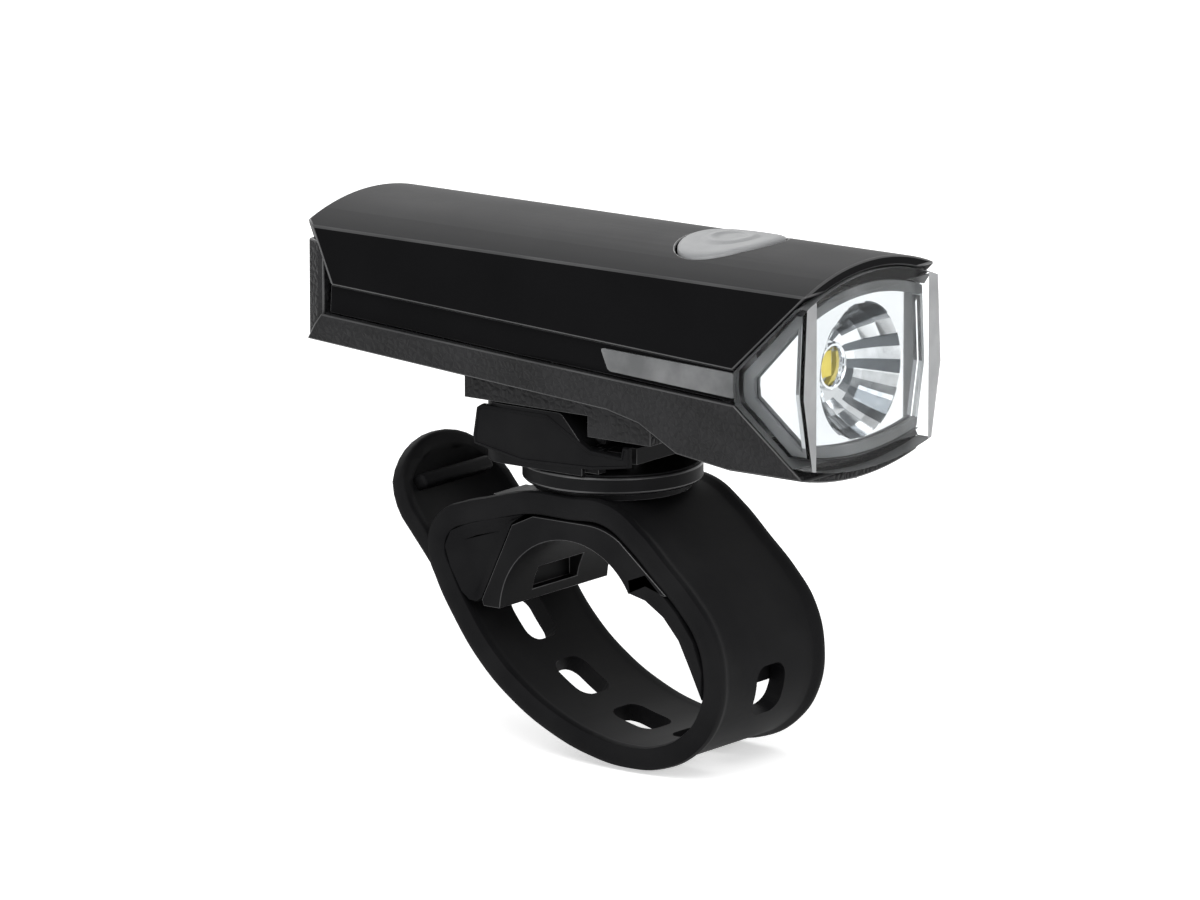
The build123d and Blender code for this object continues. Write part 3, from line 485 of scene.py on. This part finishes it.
strap = {
    "halfWidth": 12.0, "wall": 2.4, "bead": 0.55, "beadWidth": 1.7, "lip": 0.25,
    "route": [
        (6.4, 14.1), (0.0, 14.15), (-5.6, 14.1), (-9.6, 11.7), (-13.9, 7.9), (-18.0, 4.1),
        (-20.7, 0.6), (-21.9, -4.0), (-21.3, -8.6), (-18.6, -12.4), (-14.2, -14.7),
        (-9.4, -15.3), (-4.0, -14.6), (2.0, -12.6), (7.8, -9.4), (12.8, -5.2), (17.0, 0.2),
        (19.6, 4.6), (20.7, 7.6), (19.7, 10.0), (16.8, 11.4), (12.6, 12.6), (8.6, 13.7), (6.4, 14.1),
    ],
    "routeSteps": 10,
    "holes": [(-21.6, -7.0), (-13.4, -15.0), (-3.0, -14.4), (6.6, -10.2), (14.4, -3.2)],
    "holeSize": (7.0, 6.3, 9.0), "holeCorner": 1.9,
    "hookSlot": (17.6, 11.1), "hookSlotSize": (4.4, 8.0, 8.0), "hookSlotCorner": 0.8, "hookSlotTilt": -14,
    "boss": (1.5, 15.5), "bossRadius": 6.25, "bossDepth": 6.0,
}


def smoothRoute(points, name, steps):
    # a closed spline through the listed points, read back as a polyline of (y, z)
    curve = bpy.data.curves.new(name, "CURVE")
    curve.dimensions = "3D"
    spline = curve.splines.new("BEZIER")
    spline.bezier_points.add(len(points) - 2)
    for knot, (y, z) in zip(spline.bezier_points, points[:-1]):
        knot.co = (0.0, y * mm, z * mm)
        knot.handle_left_type = "AUTO"
        knot.handle_right_type = "AUTO"
    spline.use_cyclic_u = True
    spline.resolution_u = steps
    holder = bpy.data.objects.new(name, curve)
    line = bpy.data.meshes.new_from_object(holder)
    route = [vertex.co.copy() for vertex in line.vertices]
    bpy.data.objects.remove(holder)
    bpy.data.meshes.remove(line)
    bpy.data.curves.remove(curve)
    return route


strapRoute = smoothRoute(strap["route"], "strapRoute", strap["routeSteps"])


def placedOn(route, index, inward=False):
    # the turn that lays X across the band and Y along it, at one point of its route
    ahead = (route[(index + 1) % len(route)] - route[index - 1]).normalized()
    third = Vector((0.0, -ahead.z, ahead.y)) if inward else Vector((0.0, ahead.z, -ahead.y))
    return Matrix((Vector((1, 0, 0)), ahead, third)).transposed().to_4x4()


def bandProfile(bm):
    # half the cross-section, mirrored: x across the band, z outwards
    half = strap["halfWidth"]
    inner = half - strap["beadWidth"]
    wall = strap["wall"]
    rim = wall + strap["bead"]
    lip = strap["lip"]
    side = [
        (inner - 0.5, 0.0), (inner, -lip * 0.3), (half - 0.9, -lip), (half - 0.25, -lip * 0.2),
        (half, 0.5), (half, rim - 0.75), (half - 0.3, rim - 0.18), (half - 0.9, rim),
        (inner + 0.2, rim - 0.1), (inner - 0.5, wall + 0.03), (inner - 1.1, wall),
    ]
    loop = side + [(-x, z) for x, z in reversed(side)]
    verts = [bm.verts.new((x * mm, 0.0, z * mm)) for x, z in loop]
    return [bm.edges.new(pair) for pair in zip(verts, verts[1:] + verts[:1])]


def makeBand():
    bm = bmesh.new()
    edges = bandProfile(bm)
    first = list(edges)
    turns = [Matrix.Translation(place) @ placedOn(strapRoute, index)
             for index, place in enumerate(strapRoute)]
    bmesh.ops.transform(bm, verts=bm.verts, matrix=turns[0])
    for before, after in zip(turns, turns[1:]):
        made = bmesh.ops.extrude_edge_only(bm, edges=edges)["geom"]
        newVerts = [g for g in made if isinstance(g, bmesh.types.BMVert)]
        edges = [g for g in made if isinstance(g, bmesh.types.BMEdge)
                 and g.verts[0] in newVerts and g.verts[1] in newVerts]
        bmesh.ops.transform(bm, verts=newVerts, matrix=after @ before.inverted())
    bmesh.ops.bridge_loops(bm, edges=first + edges)
    return pieceFrom(bm, "strapBand", "strap_silicone", "mount")


def cutBand(band):
    form = bmesh.new()
    for y, z in strap["holes"]:
        spot = Vector((0, y, z)) * mm
        near = min(range(len(strapRoute)), key=lambda i: (strapRoute[i] - spot).length)
        turn = placedOn(strapRoute, near, inward=True)
        roundedBar(form, strap["holeSize"], strap["holeCorner"], turn, strapRoute[near])
    roundedBar(form, strap["hookSlotSize"], strap["hookSlotCorner"],
               Matrix.Rotation(radians(strap["hookSlotTilt"]), 4, "X"), Vector((0, *strap["hookSlot"])) * mm)
    bmesh.ops.create_cone(form, cap_ends=True, segments=48, radius1=strap["bossRadius"] * mm,
                          radius2=strap["bossRadius"] * mm, depth=strap["bossDepth"] * mm,
                          matrix=Matrix.Translation(Vector((0, *strap["boss"])) * mm))
    cutBy(band, form, "fittingHoles")


strapBand = makeBand()
cutBand(strapBand)
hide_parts("strap")
print("strap band with", len(strap["holes"]), "fitting holes")


# Rear leaf: the thick part of the strap behind the saddle, set back from the band's bead
leaf = {
    "halfWidth": 11.8, "edge": 0.3, "segments": 3, "sharp": 60.0, "dish": (1.9, 1.3),
    "outline": [
        (7.4, 13.9), (9.5, 12.3), (12.0, 6.8), (14.4, 1.6), (15.3, 0.9), (16.6, 1.0), (17.9, 2.0),
        (19.7, 5.0), (20.7, 7.8), (19.7, 10.0), (16.8, 11.4), (12.6, 12.6),
    ],
}
# Front leg of the saddle: tapers away along the inner side of the band
frontLeg = {
    "halfWidth": 12.0, "edge": 0.2, "segments": 2, "sharp": 35.0,
    "outline": [
        (-12.6, 8.6), (-17.6, 3.9), (-20.3, 0.4), (-21.6, -3.4), (-21.6, -7.2), (-19.7, -3.2),
        (-17.9, 0.3), (-15.4, 3.1), (-12.5, 4.9), (-9.9, 5.5), (-9.6, 7.4),
    ],
}


def slab(data, name, slotName):
    # an outline in (y, z) drawn out across the strap, its sides dished where the data says so
    half = data["halfWidth"] * mm
    bm = bmesh.new()
    face = bm.faces.new([bm.verts.new((-half, y * mm, z * mm)) for y, z in data["outline"]])
    drawOut(bm, [face], (2 * half, 0, 0))
    bmesh.ops.recalc_face_normals(bm, faces=bm.faces)
    rims = [e for e in bm.edges if abs(e.verts[0].co.x - e.verts[1].co.x) < 0.0001 * mm]
    if "dish" in data:
        border, depth = data["dish"]
        for side in [f for f in bm.faces if abs(f.normal.x) > 0.9]:
            bmesh.ops.inset_region(bm, faces=[side], thickness=border * mm, depth=-depth * mm)
    bmesh.ops.bevel(bm, geom=rims, offset=data["edge"] * mm, segments=data["segments"], profile=0.5,
                    affect="EDGES", material=-1, clamp_overlap=True)
    return pieceFrom(bm, name, slotName, "mount", data["sharp"])


slab(leaf, "strapLeaf", "strap_silicone")


# Pull tab: a rounded paddle with a beaded rim, a hollow and a cross rib, bent along its own line
tab = {
    "line": [(16.7, -0.3), (19.4, 4.0), (22.9, 8.2), (26.2, 12.0), (28.9, 16.0), (30.3, 20.2)],
    "halfWidth": 11.8, "length": 24.9, "wall": 2.3, "nose": 0.8, "noseSteps": 18, "bendStep": 2,
    "rim": 1.9, "slope": 0.7, "hollow": 0.8, "edge": 0.7, "sharp": 50.0,
    "ribSize": (15.0, 2.0, 2.6), "ribPlace": (0, 18.8, 0.2), "ribEdge": 0.6,
}


def bendAlong(bm, line):
    # moves each point from (x, along, out) to its place on the line, all in millimetres
    lengths = [0.0]
    for start, end in zip(line, line[1:]):
        lengths.append(lengths[-1] + (Vector(end) - Vector(start)).length)
    for vertex in bm.verts:
        x, along, out = vertex.co
        part = max(i for i in range(len(line) - 1) if i == 0 or lengths[i] <= along)
        share = (along - lengths[part]) / (lengths[part + 1] - lengths[part])
        start, end = Vector(line[part]), Vector(line[part + 1])
        before = Vector(line[max(part - 1, 0)])
        after = Vector(line[min(part + 2, len(line) - 1)])
        arriving = (end - before).normalized()
        leaving = (after - start).normalized()
        here = (arriving * (1 - share) + leaving * share).normalized()
        spot = start.lerp(end, share) + Vector((here.y, -here.x)) * out
        vertex.co = (x * mm, spot.x * mm, spot.y * mm)


def makeTab():
    bm = bmesh.new()
    half = tab["halfWidth"]
    nose = half * tab["nose"]
    straight = tab["length"] - nose
    outline = [(half, 0)]
    for step in range(tab["noseSteps"] + 1):
        turn = pi * step / tab["noseSteps"]
        outline.append((half * cos(turn), straight + nose * sin(turn)))
    outline.append((-half, 0))
    face = bm.faces.new([bm.verts.new((x, y, 0)) for x, y in outline])
    if face.normal.z > 0:
        face.normal_flip()
    drawOut(bm, [face], (0, 0, tab["wall"]))
    bmesh.ops.recalc_face_normals(bm, faces=bm.faces)
    front = min(bm.faces, key=lambda f: f.calc_center_median().z)
    bmesh.ops.inset_region(bm, faces=[front], thickness=tab["rim"], depth=0.0)
    bmesh.ops.inset_region(bm, faces=[front], thickness=tab["slope"], depth=-tab["hollow"])
    outer = [e for e in bm.edges if e.calc_face_angle(0) > 1.2]
    bmesh.ops.bevel(bm, geom=outer, offset=tab["edge"], segments=3, profile=0.5, affect="EDGES", material=-1)
    for y in range(tab["bendStep"], int(tab["length"]), tab["bendStep"]):
        splitAt(bm, (0, y, 0), (0, 1, 0))
    bendAlong(bm, tab["line"])
    return pieceFrom(bm, "pullTab", "strap_silicone", "mount", tab["sharp"])


def makeRib():
    bm = bmesh.new()
    bmesh.ops.create_cube(bm, size=1.0)
    bmesh.ops.scale(bm, verts=bm.verts, vec=tab["ribSize"])
    bmesh.ops.bevel(bm, geom=bm.edges[:], offset=tab["ribEdge"], segments=3, profile=0.5,
                    affect="EDGES", material=-1)
    bmesh.ops.translate(bm, verts=bm.verts, vec=tab["ribPlace"])
    bendAlong(bm, tab["line"])
    return pieceFrom(bm, "pullTabRib", "strap_silicone", "mount", tab["sharp"])


makeTab()
makeRib()
slab(frontLeg, "saddleFrontLeg", "mount_plastic")
print("strap leaf, pull tab and the saddle's front leg")


# Button: an oval silicone dome that follows the crown, with a ringed boss
button = {
    "y": -17.8, "halfLength": 9.1, "halfWidth": 5.8, "crownZ": 52.0, "crownRise": 2.8, "crownHalf": 14.6,
    "gap": 0.3, "skirt": 4.0, "wellReach": 3.0, "bossBlend": 1.6, "bossStretch": 1.22,
    "rings": [  # share of the oval, height over the crown
        (1.0, 0.05), (0.985, 0.2), (0.94, 0.32), (0.86, 0.36), (0.64, 0.3), (0.57, 0.3), (0.52, 0.5),
        (0.46, 0.56), (0.38, 0.52), (0.33, 0.34), (0.2, 0.32), (0.08, 0.32),
    ],
}


def ovalRing(bm, share, height, grow=0.0):
    # rings nearer the middle grow rounder, as the boss does
    rounder = min(1.0, max(0.0, (1.0 - share) * button["bossBlend"]))
    longAcross = button["halfLength"] * (1 - rounder) + button["halfWidth"] * button["bossStretch"] * rounder
    longHalf = share * longAcross + grow
    shortHalf = share * button["halfWidth"] + grow
    made = bmesh.ops.create_circle(bm, cap_ends=False, segments=72, radius=1.0)["verts"]
    for vertex in made:
        x = vertex.co.x * longHalf
        y = vertex.co.y * shortHalf
        z = button["crownZ"] - button["crownRise"] * (x / button["crownHalf"]) ** 2 + height
        vertex.co = (x * mm, (button["y"] + y) * mm, z * mm)
    return [e for e in bm.edges if e.verts[0] in made and e.verts[1] in made]


def skinOver(bm, loops):
    for low, high in zip(loops, loops[1:]):
        bmesh.ops.bridge_loops(bm, edges=low + high)
    closeOpenEdges(bm)


def makeButton():
    bm = bmesh.new()
    loops = [ovalRing(bm, 1.0, -button["skirt"])]
    loops += [ovalRing(bm, share, height) for share, height in button["rings"]]
    skinOver(bm, loops)
    dome = pieceFrom(bm, "buttonDome", "grey_silicone", "button", 80.0)
    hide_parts("power_button")


def cutWell(cover):
    # the cover's own modifiers are off while it is cut, so that they stay live
    bm = bmesh.new()
    reach = button["wellReach"]
    skinOver(bm, [ovalRing(bm, 1.0, height, button["gap"]) for height in (-reach, reach)])
    for modifier in cover.modifiers:
        modifier.show_viewport = False
    cutBy(cover, bm, "buttonWell")
    for modifier in cover.modifiers:
        modifier.show_viewport = True


makeButton()
cutWell(mouldings["top_cover"])
print("button")


# Side strips: smoked light guides along the band, each with a paler rim
sides = {"left": -1, "right": 1}
strip = {
    "outline": [(-7.3, 38.6), (-8.7, 35.7), (-28.8, 34.5), (-28.8, 37.9)],
    "belt": (15.4, 36.0), "top": (14.6, 49.2), "bottom": (13.1, 24.5),
    "inset": 0.32, "corner": 0.45, "rim": 0.42, "slope": 0.12, "recess": 0.22, "wall": 0.5,
}


def flank(z):
    # the housing's half width at a height, widest at the belt
    beltX, beltZ = strip["belt"]
    farX, farZ = strip["top"] if z > beltZ else strip["bottom"]
    return beltX + (farX - beltX) * (z - beltZ) / (farZ - beltZ)


def makeStrip(label, side):
    bm = bmesh.new()
    bm.faces.new([bm.verts.new((0, y, z)) for y, z in strip["outline"]])
    bmesh.ops.bevel(bm, geom=bm.verts[:], offset=strip["corner"], segments=3, profile=0.5,
                    affect="VERTICES", material=-1)
    splitAt(bm, (0, 0, strip["belt"][1]), (0, 0, 1))
    middle = bm.faces[:]
    bmesh.ops.inset_region(bm, faces=middle, thickness=strip["rim"], depth=0.0)
    for face in bm.faces:
        face.material_index = 0 if face in middle else 1
    bmesh.ops.inset_region(bm, faces=middle, thickness=strip["slope"], depth=0.0)
    inner = {vertex for face in middle for vertex in face.verts}
    for vertex in bm.verts:
        depth = strip["recess"] if vertex in inner else 0.0
        y, z = vertex.co.y, vertex.co.z
        vertex.co = (side * (flank(z) - strip["inset"] - depth) * mm, y * mm, z * mm)
    drawOut(bm, bm.faces[:], (-side * strip["wall"] * mm, 0, 0))
    piece = pieceFrom(bm, "sideStrip_" + label, "clear_lens", "lamp", 25.0)
    piece.data.materials[0] = smokedFinish
    piece.data.materials.append(paleRimFinish)


for label, side in sides.items():
    makeStrip(label, side)


# Seal: the uprights at the corners of the front window are nearly clear
upright = {"inner": 11.7, "low": 28.9, "high": 45.2, "rear": -36.6}


def tintSeal(seal):
    bm = bmesh.new()
    bm.from_mesh(seal.data)
    for height in (upright["low"], upright["high"]):
        splitAt(bm, (0, 0, height * mm), (0, 0, 1))
    for face in bm.faces:
        spot = face.calc_center_median() / mm
        inUpright = upright["low"] < spot.z < upright["high"] and spot.y < upright["rear"]
        face.material_index = 1 if inUpright and abs(spot.x) > upright["inner"] else 0
    bm.to_mesh(seal.data)
    bm.free()
    seal.data.materials[0] = smokedFinish
    seal.data.materials.append(clearFrame)


tintSeal(mouldings["lens_seal"])
print("side strips and seal")


# Rear frame: an upright plate with chamfered corners round the charging inlet's recess
rearFrame = {
    "plan": [(14.6, 38.4), (14.6, 39.4), (13.4, 41.8), (-13.4, 41.8), (-14.6, 39.4), (-14.6, 38.4)],
    "low": 33.7, "high": 47.2, "edge": 0.25,
    "recessSize": (5.9, 19.0, 9.0), "recessCorner": 1.2, "recessPlace": (0.9, 40.0, 39.65),
}


def makeRearFrame():
    bm = bmesh.new()
    low = rearFrame["low"] * mm
    face = bm.faces.new([bm.verts.new((x * mm, y * mm, low)) for x, y in rearFrame["plan"]])
    drawOut(bm, [face], (0, 0, (rearFrame["high"] - rearFrame["low"]) * mm))
    piece = pieceFrom(bm, "rearFrame", "shell_textured", "lamp")
    form = bmesh.new()
    roundedBar(form, rearFrame["recessSize"], rearFrame["recessCorner"], Matrix.Rotation(radians(90), 4, "X"),
               Vector(rearFrame["recessPlace"]) * mm)
    cutBy(piece, form, "inletRecess")
    # the frame's bevels get the painted edge highlight too
    piece.data.materials.append(paintedEdgeHighlight)
    roundEdges(piece, rearFrame["edge"] * mm).material = 1


makeRearFrame()
print("rear frame")


# Collar round the emitter, at the bottom of the bowl, as (radius, y)
collar = {
    "beamZ": 37.0,
    "profile": [(3.5, -31.0), (3.25, -33.3), (3.0, -33.6), (2.7, -33.6), (2.5, -33.3), (2.5, -31.0)],
}


def makeCollar():
    bm = bmesh.new()
    height = collar["beamZ"] * mm
    verts = [bm.verts.new((radius * mm, y * mm, height)) for radius, y in collar["profile"]]
    edges = [bm.edges.new(pair) for pair in zip(verts, verts[1:] + verts[:1])]
    bmesh.ops.spin(bm, geom=verts + edges, cent=(0, 0, height), axis=(0, 1, 0), angle=2 * pi, steps=48,
                   use_merge=True)
    piece = pieceFrom(bm, "emitterCollar", "silvered", "lamp", 40.0)
    piece.data.materials[0] = collarFinish


makeCollar()


# Shoe cheeks: thin side plates that close the pin's ends, with the sloping front
cheek = {
    "outline": [
        (15.4, 22.4), (15.6, 23.6), (15.0, 27.4), (14.2, 27.9), (3.4, 27.9), (-3.7, 24.0), (-8.6, 23.7),
        (-8.9, 25.0), (-9.9, 25.0), (-9.9, 22.3), (-4.0, 21.3), (7.5, 20.9),
    ],
    "from": 11.3, "thick": 0.85, "border": 0.45, "step": 0.1, "depth": 0.14, "edge": 0.3,
}


def makeCheek(label, side):
    bm = bmesh.new()
    face = bm.faces.new([bm.verts.new((0, y * mm, z * mm)) for y, z in cheek["outline"]])
    drawOut(bm, [face], (cheek["thick"] * mm, 0, 0))
    bmesh.ops.recalc_face_normals(bm, faces=bm.faces)
    outer = max(bm.faces, key=lambda f: f.calc_center_median().x)
    rims = list(outer.edges)
    bmesh.ops.inset_region(bm, faces=[outer], thickness=cheek["border"] * mm, depth=0.0)
    bmesh.ops.inset_region(bm, faces=[outer], thickness=cheek["step"] * mm, depth=-cheek["depth"] * mm)
    bmesh.ops.bevel(bm, geom=rims, offset=cheek["edge"] * mm, segments=2, profile=0.5,
                    affect="EDGES", material=-1)
    bmesh.ops.translate(bm, verts=bm.verts, vec=(cheek["from"] * mm, 0, 0))
    bmesh.ops.scale(bm, verts=bm.verts, vec=(side, 1, 1))
    pieceFrom(bm, "shoeCheek_" + label, "mount_plastic", "turntable")


for label, side in sides.items():
    makeCheek(label, side)
print("collar and cheeks")


# Studio

studio = {
    "target": (0.0, 0.0, 0.018),
    "lamps": {  # place, size, power
        "keyLamp": ((-0.45, -0.25, 0.6), (0.5, 0.4), 2.8),
        "frontLamp": ((-0.1, -0.7, 0.25), (0.5, 0.35), 1.7),
        "sideLamp": ((-0.7, 0.1, 0.12), (0.4, 0.3), 1.2),
        "backLamp": ((0.4, 0.5, 0.45), (0.5, 0.4), 1.5),
    },
    "worldStrength": 0.5, "backdropStrength": 1.0,
    "floorSize": 3.0, "floorDrop": 0.4 * mm, "floorGlow": 0.5, "floorRough": 0.9,
}


def softLamp(name, place, size, power):
    data = bpy.data.lights.new(name, "AREA")
    data.shape = "RECTANGLE"
    data.size, data.size_y = size
    data.energy = power
    lamp = bpy.data.objects.new(name, data)
    bpy.context.scene.collection.objects.link(lamp)
    lamp.location = place
    aim = Vector(studio["target"]) - Vector(place)
    lamp.rotation_euler = aim.to_track_quat("-Z", "Y").to_euler()


def seenByCamera(tree):
    # one for rays that the camera sees straight on, through the lens or in a mirror
    rays = tree.nodes.new("ShaderNodeLightPath")
    total = rays.outputs["Is Camera Ray"]
    for kind in ("Is Transmission Ray", "Is Glossy Ray"):
        larger = tree.nodes.new("ShaderNodeMath")
        larger.operation = "MAXIMUM"
        tree.links.new(total, larger.inputs[0])
        tree.links.new(rays.outputs[kind], larger.inputs[1])
        total = larger.outputs[0]
    return total


def makeWorld():
    world = bpy.data.worlds.new("studio")
    world.use_nodes = True
    bpy.context.scene.world = world
    tree = world.node_tree
    tree.nodes.clear()
    output = tree.nodes.new("ShaderNodeOutputWorld")
    mix = tree.nodes.new("ShaderNodeMixShader")
    tree.links.new(seenByCamera(tree), mix.inputs["Fac"])
    for place, strength in ((1, studio["worldStrength"]), (2, studio["backdropStrength"])):
        white = tree.nodes.new("ShaderNodeBackground")
        white.inputs["Color"].default_value = (1.0, 1.0, 1.0, 1.0)
        white.inputs["Strength"].default_value = strength
        tree.links.new(white.outputs[0], mix.inputs[place])
    tree.links.new(mix.outputs[0], output.inputs["Surface"])


def makeFloor():
    mesh = bpy.data.meshes.new("floor")
    bm = bmesh.new()
    bmesh.ops.create_grid(bm, x_segments=1, y_segments=1, size=studio["floorSize"] / 2)
    bmesh.ops.translate(bm, verts=bm.verts, vec=(0, 0, cadBounds[0][2] - studio["floorDrop"]))
    bm.to_mesh(mesh)
    bm.free()
    floor = bpy.data.objects.new("floor", mesh)
    bpy.context.scene.collection.objects.link(floor)
    material, tree, shader = newMaterial("paleFloor")
    shader.inputs["Base Color"].default_value = (0.93, 0.93, 0.93, 1.0)
    shader.inputs["Roughness"].default_value = studio["floorRough"]
    shader.inputs["Emission Color"].default_value = (1.0, 1.0, 1.0, 1.0)
    glow = tree.nodes.new("ShaderNodeMath")
    glow.operation = "MULTIPLY"
    glow.inputs[1].default_value = studio["floorGlow"]
    tree.links.new(seenByCamera(tree), glow.inputs[0])
    tree.links.new(glow.outputs[0], shader.inputs["Emission Strength"])
    mesh.materials.append(material)


for name, (place, size, power) in studio["lamps"].items():
    softLamp(name, place, size, power)
makeWorld()
makeFloor()


# Camera at the photograph's angle
view = {
    "azimuth": -53.5, "elevation": 12.4, "distance": 1.5, "across": -2.91 * mm, "height": 20.91 * mm,
    "pixelsPerMetre": 7550.0, "photoWidth": 1200, "sensor": 36.0, "clipEnd": 20.0,
}


def makeCamera():
    azimuth = radians(view["azimuth"])
    elevation = radians(view["elevation"])
    back = Vector((sin(azimuth) * cos(elevation), -cos(azimuth) * cos(elevation), sin(elevation)))
    right = Vector((cos(azimuth), sin(azimuth), 0.0))
    up = back.cross(right)
    aim = right * view["across"] + up * view["height"]
    data = bpy.data.cameras.new("photoCamera")
    data.sensor_width = view["sensor"]
    data.lens = view["sensor"] * view["pixelsPerMetre"] * view["distance"] / view["photoWidth"]
    data.clip_end = view["clipEnd"]
    camera = bpy.data.objects.new("photoCamera", data)
    bpy.context.scene.collection.objects.link(camera)
    turn = Matrix((right, up, back)).transposed()
    camera.matrix_world = Matrix.Translation(aim + back * view["distance"]) @ turn.to_4x4()
    bpy.context.scene.camera = camera


makeCamera()
bpy.context.scene.view_settings.view_transform = "Standard"
print("studio and camera ready")
